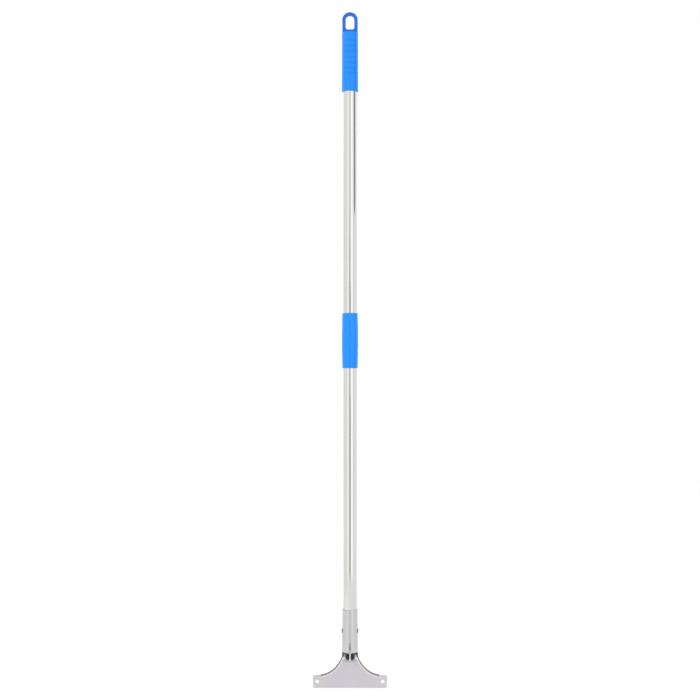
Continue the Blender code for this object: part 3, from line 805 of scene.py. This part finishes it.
def seam_half_angle(height):
    closing = min(max((height - SEAM_MOUTH_TOP) / SEAM_TAPER_LENGTH, 0.0), 1.0)
    gap = SEAM_MOUTH_GAP + (SEAM_GAP - SEAM_MOUTH_GAP) * closing
    return gap / 2 / socket_radius(height)


def front_row(height):
    """The rest of the rolled half, from the flange's edge angle to the seam."""
    radius = socket_radius(height)
    angles = spaced(FLANGE_EDGE_ANGLE, pi - seam_half_angle(height), FRONT_COLUMNS)
    return [(radius * sin(angle), radius * cos(angle), height) for angle in angles[1:]]


def ramp_share(height):
    """How far the ramp has changed from the flat plate to the round socket."""
    return smoothstep((height - RAMP_BOTTOM) / RAMP_LENGTH)


def ramp_depth(height):
    """The depth of the sheet's middle along the ramp's centre line."""
    return PLATE_Y + (SOCKET_BOTTOM_RADIUS - PLATE_Y) * ramp_share(height)


def blend_rows(low, high, share):
    return [Vector(a).lerp(Vector(b), share) for a, b in zip(low, high)]


def formed_flange(x, _, z):
    """How fully the flange is formed at a point's place along the head's concave side."""
    angle = atan2(SIDE_ARC_CENTRE_Z - z, SIDE_ARC_CENTRE_X - abs(x))
    at_end = smoothstep((FLANGE_END_ANGLE + FLANGE_FADE / 2 - angle) / FLANGE_FADE)
    return at_end * smoothstep((SOCKET_BOTTOM - z) / FLANGE_TOP_FADE)


# The socket's inside, where the sheet is rougher and painted darker as shade
def inside_socket(x, y, z):
    between_rims = SOCKET_BOTTOM - 1.0 * MM < z < SOCKET_TOP - 0.5 * MM
    return 1.0 if between_rims and sqrt(x * x + y * y) < socket_radius(z) - SHEET / 4 else 0.0


def pocket_painted_shade_share(x, _, z):
    """Painted shade in the pocket under the socket's foot: a dark patch where the hollow lies in shade.
    """
    across = x / POCKET_HALF_WIDTH
    up = (z - SOCKET_BOTTOM + POCKET_BELOW_RIM) / POCKET_HALF_HEIGHT
    return smoothstep((1.1 - sqrt(across * across + up * up)) / POCKET_BLUR)


def head_rows():
    """Every half cross-section of the head from the blade's edge to the socket's top."""
    rows = []
    for turn in spaced(0.0, pi / 2, 6):
        inset = BLADE_CORNER * (1.0 - sin(turn))
        height = BLADE_EDGE + BLADE_CORNER * (1.0 - cos(turn))
        rows.append(plate_row(BLADE_HALF_WIDTH - inset, height, 0.0))
    band_top = BLADE_EDGE + BAND_HEIGHT
    for height in spaced(BLADE_EDGE + BLADE_CORNER, band_top - TAB_CORNER, 8)[1:]:
        rows.append(plate_row(BLADE_HALF_WIDTH, height, 0.0))
    for turn in spaced(0.0, pi / 2, 4)[1:]:
        inset = TAB_CORNER * (1.0 - cos(turn))
        height = band_top - TAB_CORNER * (1.0 - sin(turn))
        rows.append(plate_row(BLADE_HALF_WIDTH - inset, height, 0.0))
    for angle in spaced(SIDE_ARC_END_ANGLE, SIDE_ARC_START_ANGLE, SIDE_ARC_ROWS):
        x_edge, height = side_arc_point(angle)
        flat = plate_row(x_edge, height, flange_depth(angle))
        rows.append(blend_rows(flat, rolled_row(height), ramp_share(height)))
    heights = spaced(SOCKET_BOTTOM, SEAM_MOUTH_TOP, 4)[1:]
    heights += spaced(SEAM_MOUTH_TOP, SEAM_MOUTH_TOP + SEAM_TAPER_LENGTH, 6)[1:]
    heights += spaced(SEAM_MOUTH_TOP + SEAM_TAPER_LENGTH, SOCKET_TOP, 12)[1:]
    return rows + [rolled_row(height) for height in heights]


def head_sheet():
    """The head as one surface in the middle of the sheet, open at the front of the socket."""
    bm = bmesh.new()
    grid = []
    for row in head_rows():
        right = [bm.verts.new(point) for point in row]
        left = [bm.verts.new((-x, y, z)) for x, y, z in row[1:]]
        height = row[0][2]
        if height > SOCKET_BOTTOM - 0.01 * MM:
            front = front_row(height)
            right += [bm.verts.new(point) for point in front]
            left += [bm.verts.new((-x, y, z)) for x, y, z in front]
        grid.append((right, [right[0]] + left))
    for lower, upper in zip(grid, grid[1:]):
        for low, high in zip(lower, upper):
            for index in range(min(len(low), len(high)) - 1):
                bm.faces.new((low[index], low[index + 1], high[index + 1], high[index]))
    return bm


def make_head(material):
    head = make_object("blade_head", head_sheet())
    solidify = head.modifiers.new("Sheet", "SOLIDIFY")
    solidify.thickness = SHEET
    solidify.offset = 0.0
    solidify.use_even_offset = True
    drills = []
    for side in (-1, 1):
        bm = drill_bit(END_HOLE_RADIUS, 10 * SHEET)
        spot = Matrix.Translation((side * END_HOLE_X, PLATE_Y, BLADE_EDGE + END_HOLE_ABOVE_EDGE))
        bmesh.ops.transform(bm, matrix=spot @ Matrix.Rotation(pi / 2, 4, "X"), verts=bm.verts)
        drills.append(make_object("drill", bm))
        combine(head, drills[-1], "DIFFERENCE")
    apply_modifiers(head, drills, 0.6)
    drill_across((head,), RIVET_SHANK + FIT_GAP, cross_size("rivet_right")[0])
    bevel = head.modifiers.new("Edges", "BEVEL")
    bevel.width = EDGE_BREAK
    bevel.segments = 2
    bevel.limit_method = "ANGLE"
    bevel.angle_limit = 1.1
    bevel.harden_normals = False
    apply_modifiers(head, (), 0.7)
    # Masks for the painted shade and painted highlight on the flanges, and for the painted shade inside
    # the socket and in the pocket
    mark_points(head, "flange", formed_flange)
    mark_points(head, "flange_front", formed_flange, front_only=True)
    mark_points(head, "inside", inside_socket)
    mark_points(head, "painted_pocket_shade", pocket_painted_shade_share, front_only=True)
    finish_piece(head, "lower_section", "scraper_head", material)


def make_weld(bead_material, root_material):
    """The rippled bead that bridges the seam's open foot, and a thin run from it to the plate."""
    arc = [(sin(turn), cos(turn)) for turn in spaced(0.0, pi, WELD_ROWS)[1:-1]]
    bm = turned([(0.0, 1.0), *arc, (0.0, -1.0)], SMALL_SIDES)
    height = SOCKET_BOTTOM + WELD_ABOVE_RIM
    for vert in bm.verts:
        ripple = 1.0 + WELD_RIPPLE_DEPTH * cos(2.0 * pi * WELD_RIPPLES * vert.co.x)
        vert.co = Vector((vert.co.x, vert.co.y * ripple, vert.co.z * ripple))
        vert.co = vert.co * WELD_HALF_SIZE
        vert.co += Vector((0.0, -socket_radius(height), height))
    weld = make_object("seam_weld", bm, 1.2)
    finish_piece(weld, "lower_section", None, bead_material)

    # The run is a rod that flares at both ends, thins out towards its foot and bends forward.
    outline = [(0.0, 0.0)]
    for share in spaced(0.02, 0.98, 25):
        flare = 1.0 + WELD_ROOT_FLARE * (2.0 * share - 1.0) ** 6
        outline.append((WELD_ROOT_HALF_WIDTH * flare, WELD_ROOT_LENGTH * share))
    outline.append((0.0, WELD_ROOT_LENGTH))
    bm = turned(outline, WELD_ROOT_SIDES)
    low = SOCKET_BOTTOM + WELD_ROOT_ABOVE_RIM - WELD_ROOT_LENGTH
    foot = ramp_depth(low) - SHEET / 2
    reach = -socket_radius(SOCKET_BOTTOM) - foot
    for vert in bm.verts:
        share = vert.co.z / WELD_ROOT_LENGTH
        vert.co.y *= WELD_ROOT_FLATNESS * smoothstep(share / WELD_ROOT_THIN_SHARE)
        vert.co += Vector((0.0, foot + reach * share ** WELD_ROOT_BEND, low))
    root = make_object("weld_root", bm, 1.2)
    finish_piece(root, "lower_section", None, root_material)


# Rivets ---------------------------------------------------------------------------------


def make_rivet(name, side, metal, steel):
    """A blind rivet, drawn along Z and laid along X, with the mandrel that stays in its bore."""
    node = "rivet_" + name
    height, head_radius, rivet_end, head_top = cross_size(node)
    seat = head_top - RIVET_HEAD_THICKNESS - RIVET_HEAD_SUNK
    bulge_radius = RIVET_SHANK + RIVET_BULGE
    bulge_top = rivet_end + RIVET_BULGE_LENGTH
    outline = [(RIVET_BORE, head_top - 0.35 * MM), (RIVET_BORE + 0.25 * MM, head_top - 0.1 * MM)]
    for turn in spaced(RIVET_DOME_START, pi / 2, 10)[:-1]:
        dome = RIVET_HEAD_THICKNESS * cos(turn) ** RIVET_DOME_POWER
        outline.append((head_radius * sin(turn), seat + dome))
    outline += [
        (head_radius, seat + RIVET_HEAD_EDGE),
        (head_radius - RIVET_HEAD_EDGE, seat),
        (RIVET_SHANK, seat),
        (RIVET_SHANK, bulge_top + 0.4 * MM),
        (bulge_radius, bulge_top - 0.4 * MM),
        (bulge_radius, rivet_end + 0.8 * MM),
        (RIVET_SHANK, rivet_end),
        (RIVET_BORE, rivet_end),
    ]
    bm = turned(outline, SMALL_SIDES)
    lay_along_x(bm, side, height)
    rivet = make_object("rivet_body_" + name, bm)
    finish_piece(rivet, "lower_section", node, metal)

    stem_node = "rivet_mandrel_" + name
    _, inner_head_radius, inner_head_end, stem_top = cross_size(stem_node)
    inner_head_top = rivet_end - FIT_GAP
    outline = [
        (0.0, stem_top - 0.15 * MM),
        (MANDREL_RADIUS / 2, stem_top),
        (MANDREL_RADIUS, stem_top - 0.2 * MM),
        (MANDREL_RADIUS, inner_head_top),
        (inner_head_radius - 0.2 * MM, inner_head_top),
        (inner_head_radius, inner_head_top - 0.2 * MM),
        (inner_head_radius, (inner_head_top + inner_head_end) / 2),
        (inner_head_radius / 2, inner_head_end),
        (0.0, inner_head_end),
    ]
    bm = turned(outline, SMALL_SIDES)
    lay_along_x(bm, side, height)
    stem = make_object("rivet_stem_" + name, bm)
    finish_piece(stem, "lower_section", stem_node, steel)


# Stage ----------------------------------------------------------------------------------


def make_world():
    world = bpy.data.worlds.new("studio")
    bpy.context.scene.world = world
    world.use_nodes = True
    background = world.node_tree.nodes["Background"]
    background.inputs["Color"].default_value = (1.0, 1.0, 1.0, 1.0)
    background.inputs["Strength"].default_value = 1.0


def glowing(nodes, strength):
    """Finishes a dark material that gives off white light without any gloss of its own."""
    nodes.set(Base_Color=colour(CARD_SHADE, CARD_SHADE, CARD_SHADE), Roughness=1.0)
    nodes.set(Emission_Color=colour(1.0, 1.0, 1.0), Emission_Strength=strength)
    nodes.set(Specular_IOR_Level=0.0)
    return nodes.material


def fading_glow(name, height, low_strength, high_strength):
    """A glow that grows up the lower half of an upright card of the given height."""
    nodes = Nodes(name)
    along = nodes.axes()[1]
    return glowing(nodes, nodes.remap(along, -height / 2, 0.05 * height, low_strength, high_strength))


def flat_panel(name, width, height, location, facing, material):
    """An upright card that only reflections see."""
    bm = bmesh.new()
    bmesh.ops.create_grid(bm, x_segments=1, y_segments=1, size=0.5)
    bmesh.ops.scale(bm, vec=(width, height, 1.0), verts=bm.verts)
    panel = make_object(name, bm)
    panel.location = location
    panel.rotation_euler = (Vector(facing) - Vector(location)).to_track_quat("Z", "Y").to_euler()
    panel.data.materials.append(material)
    panel.visible_camera = False
    panel.visible_shadow = False
    panel.visible_diffuse = False


def reflected_card(name, across, low, high, span, material, twin=True):
    """A card whose mirror image falls on a tube at a share of its half width from its middle.

    low and high are the heights on the tube between which the camera sees the image, and
    span is the image's width as a share of the tube's half width. A twin behind the pole
    gives its back the same look; a card at the side has none, as the front would show it too.
    """
    width = CARD_DISTANCE * 2.0 * span / sqrt(1.0 - across * across)
    camera_z = BLADE_EDGE + CAMERA_ABOVE_EDGE
    rise = CARD_DISTANCE / CAMERA_DISTANCE
    bottom = low + (low - camera_z) * rise
    top = high + (high - camera_z) * rise
    middle = (bottom + top) / 2
    places = [("front", 0.0), ("back", pi)] if twin else [("front", 0.0)]
    for place, heading in places:
        turn = 2.0 * asin(across) + heading
        centre = (CARD_DISTANCE * sin(turn), -CARD_DISTANCE * cos(turn), middle)
        flat_panel(f"{name}_{place}", width, top - bottom, centre, (0.0, 0.0, middle), material)


def make_floor():
    bm = bmesh.new()
    bmesh.ops.create_grid(bm, x_segments=8, y_segments=8, size=FLOOR_SIZE / 2)
    floor = make_object("floor", bm)
    floor.location.z = BLADE_EDGE - FLOOR_BELOW_EDGE
    nodes = Nodes("pale_floor")
    speckle = nodes.remap(nodes.noise(3.0), 0.3, 0.7)
    nodes.set(Base_Color=nodes.mix(speckle, colour(0.93, 0.93, 0.93), colour(0.95, 0.95, 0.95)))
    nodes.set(Roughness=0.9, Emission_Color=colour(1.0, 1.0, 1.0), Emission_Strength=0.07)
    nodes.set(Specular_IOR_Level=0.1)
    floor.data.materials.append(nodes.material)


def make_fill_light():
    """A soft light from the left that evens out the diffuse shading and makes no reflection."""
    light = bpy.data.lights.new("left_fill", "AREA")
    light.shape = "RECTANGLE"
    light.size, light.size_y = FILL_SIZE
    light.energy = FILL_ENERGY
    lamp = bpy.data.objects.new("left_fill", light)
    height = BLADE_EDGE + FILL_ABOVE_EDGE
    lamp.location = (*FILL_PLACE, height)
    facing = Vector((0.0, 0.0, height)) - lamp.location
    lamp.rotation_euler = facing.to_track_quat("-Z", "Y").to_euler()
    lamp.visible_glossy = False
    bpy.context.scene.collection.objects.link(lamp)


def make_camera():
    data = bpy.data.cameras.new("camera")
    data.sensor_width = SENSOR_WIDTH
    data.lens = SENSOR_WIDTH * CAMERA_DISTANCE / VIEW_WIDTH
    data.clip_end = 100.0
    camera = bpy.data.objects.new("camera", data)
    camera.location = (0.0, -CAMERA_DISTANCE, BLADE_EDGE + CAMERA_ABOVE_EDGE)
    camera.rotation_euler = (pi / 2, 0.0, 0.0)
    bpy.context.scene.collection.objects.link(camera)
    bpy.context.scene.camera = camera


def make_stage():
    bpy.context.scene.view_settings.view_transform = "Standard"
    make_world()
    make_floor()
    make_camera()
    make_fill_light()
    dark = glowing(Nodes("dark_card"), 0.12)
    grey = glowing(Nodes("grey_card"), 0.24)
    left_box = glowing(Nodes("left_soft_box"), 1.25)
    right_box = glowing(Nodes("right_soft_box"), 1.45)
    top = round_size("top_grip")[1]
    joint_low, joint_high, _ = round_size("joint_sleeve")
    joint = (joint_low + joint_high) / 2
    upper_height = (top - joint) * (1.0 + CARD_DISTANCE / CAMERA_DISTANCE)
    fading = fading_glow("fading_card", upper_height, 0.50, 0.86)
    bottom = round_size("lower_tube")[0] + CARD_ABOVE_TUBE_END
    reflected_card("lower_camera_gap", 0.0, bottom, joint, 0.13, grey)
    reflected_card("upper_camera_gap", -0.05, joint, top, 0.11, fading)
    reflected_card("left_soft_box", -0.30, bottom, top, 0.20, left_box)
    reflected_card("right_soft_box", 0.27, bottom, top, 0.20, right_box)
    reflected_card("side_gap", 0.64, joint + SIDE_GAP_ABOVE_JOINT, top, 0.14, dark, twin=False)


# Assembly -------------------------------------------------------------------------------


def build():
    make_stage()
    blue = blue_plastic()
    steel = polished_steel()
    sheet = satin_sheet()
    light, dark = colour(0.28, 0.29, 0.31), colour(0.22, 0.23, 0.25)
    grey = soft_or_moulded("grey_insert", light, dark, 0.5, 600.0, 0.03 * MM)
    light, dark = colour(0.025, 0.025, 0.025), colour(0.015, 0.015, 0.016)
    rubber = soft_or_moulded("black_rubber", light, dark, 0.65, 900.0, 0.02 * MM)
    light, dark = colour(0.70, 0.71, 0.72), colour(0.58, 0.59, 0.60)
    aluminium = plain_metal("rivet_aluminium", light, dark, 0.24, 700.0)
    light, dark = colour(0.48, 0.47, 0.46), colour(0.34, 0.33, 0.32)
    pin_steel = plain_metal("pin_steel", light, dark, 0.34, 500.0)

    make_grip(blue)
    make_sleeve(blue)
    upper_tube = make_tube("upper_pole", "upper_tube", "upper_section", steel)
    lower_tube = make_tube("lower_pole", "lower_tube", "lower_section", steel)
    washer_low, washer_high, _ = round_size("joint_washer")
    joint = (washer_low + washer_high) / 2
    spigot = make_spigot(joint, grey)
    insert = make_socket_insert(joint, grey)
    make_washer(rubber)
    for name, node, body, pieces in (
        ("plug_pin", "spigot_cross_pin", "upper_section", (upper_tube, spigot)),
        ("insert_pin", "socket_cross_pin", "lower_section", (lower_tube, insert)),
    ):
        make_cross_pin(name, node, body, pin_steel)
        height, radius, _, _ = cross_size(node)
        drill_across(pieces, radius + FIT_GAP, height)
    make_head(sheet)
    # The run's weld metal is far lighter than the bead's: a painted highlight standing in for light on
    # it.
    make_weld(
        weld_metal("weld_metal", colour(0.58, 0.57, 0.56), colour(0.42, 0.39, 0.36)),
        weld_metal("weld_root_painted_highlight", colour(0.95, 0.94, 0.93), colour(0.86, 0.84, 0.82)),
    )
    drill_across((lower_tube,), RIVET_SHANK + FIT_GAP, cross_size("rivet_right")[0])
    mark_points(upper_tube, "inside", inside_tube)
    mark_points(lower_tube, "inside", inside_tube)
    for name, side in (("left", -1.0), ("right", 1.0)):
        make_rivet(name, side, aluminium, pin_steel)


build()
